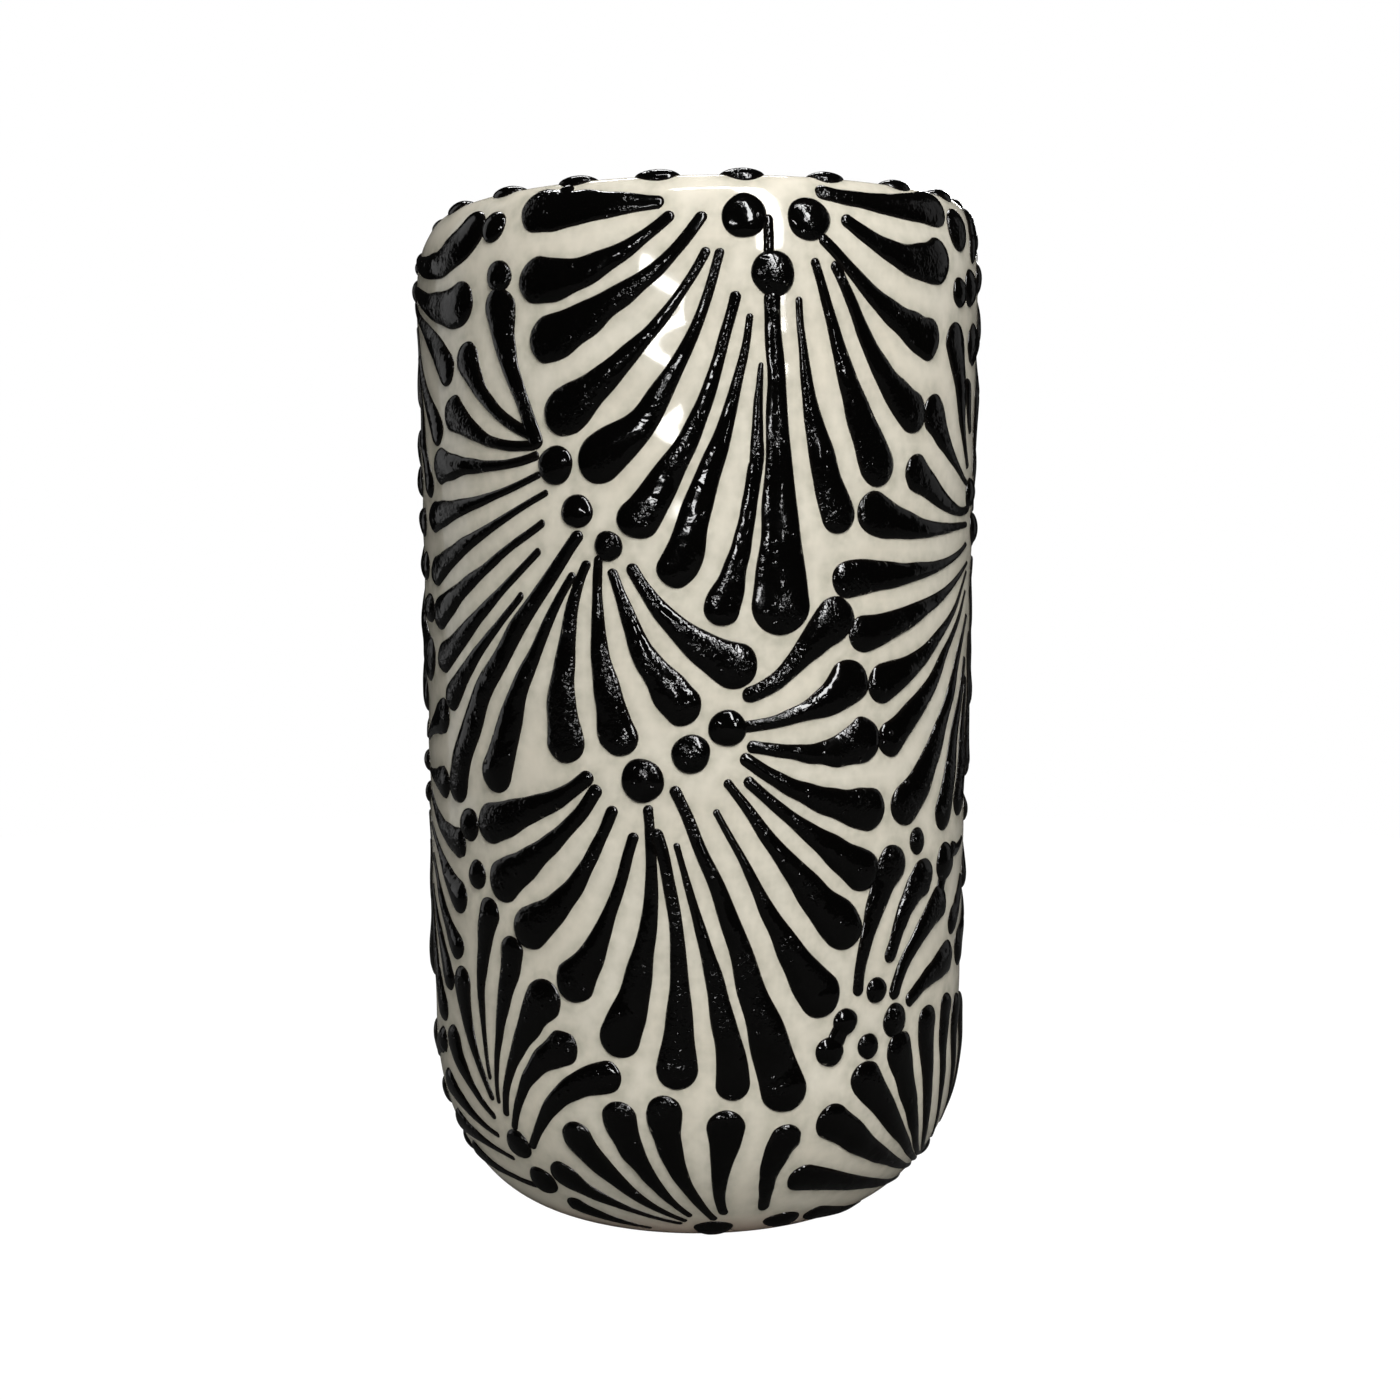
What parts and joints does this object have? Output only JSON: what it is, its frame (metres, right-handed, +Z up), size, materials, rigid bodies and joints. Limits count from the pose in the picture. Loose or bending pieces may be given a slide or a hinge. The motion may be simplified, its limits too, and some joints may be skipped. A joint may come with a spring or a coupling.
{
  "type": "talavera pottery vase",
  "caption": "Open cylinder vase in glazed earthenware with a rounded base, a rolled lip, a ring of raised dots on the lip and raised black teardrop fans all round.",
  "frame": {"origin": "middle of the foot ring's underside, on the surface the vase stands on", "axes": "+Z up the vase's axis to the mouth, -Y towards the front of the painted pattern, +X to the front view's right"},
  "size_m": [0.1148, 0.1158, 0.2045],
  "materials": {
    "clay": "matte",
    "glaze": "gloss",
    "enamel": "gloss"
  },
  "bodies": {
    "root": {"clay_body": "clay", "glaze_coat": "glaze", "rim_dot_01": "enamel", "rim_dot_02": "enamel", "rim_dot_03": "enamel", "rim_dot_04": "enamel", "rim_dot_05": "enamel", "rim_dot_06": "enamel", "rim_dot_07": "enamel", "rim_dot_08": "enamel", "rim_dot_09": "enamel", "rim_dot_10": "enamel", "rim_dot_11": "enamel", "rim_dot_12": "enamel", "rim_dot_13": "enamel", "rim_dot_14": "enamel", "rim_dot_15": "enamel", "rim_dot_16": "enamel", "rim_dot_17": "enamel", "rim_dot_18": "enamel", "rim_dot_19": "enamel", "rim_dot_20": "enamel", "crown_eye_1": "enamel", "crown_eye_2": "enamel", "crown_eye_3": "enamel", "left_eye_1": "enamel", "left_eye_2": "enamel", "left_eye_3": "enamel", "middle_eye_1": "enamel", "middle_eye_2": "enamel", "middle_eye_3": "enamel", "right_eye_1": "enamel", "right_eye_2": "enamel", "high_right_eye_1": "enamel", "high_right_eye_2": "enamel", "high_right_eye_3": "enamel", "low_left_eye_1": "enamel", "low_left_eye_2": "enamel", "foot_left_eye_1": "enamel", "foot_left_eye_2": "enamel", "low_right_eye_1": "enamel", "low_right_eye_2": "enamel", "low_right_eye_3": "enamel", "back_crown_eye_1": "enamel", "back_crown_eye_2": "enamel", "back_crown_eye_3": "enamel", "back_left_eye_1": "enamel", "back_left_eye_2": "enamel", "back_left_eye_3": "enamel", "back_middle_eye_1": "enamel", "back_middle_eye_2": "enamel", "back_middle_eye_3": "enamel", "back_low_right_eye_1": "enamel", "back_low_right_eye_2": "enamel", "back_low_right_eye_3": "enamel"}
  },
  "joints": []
}
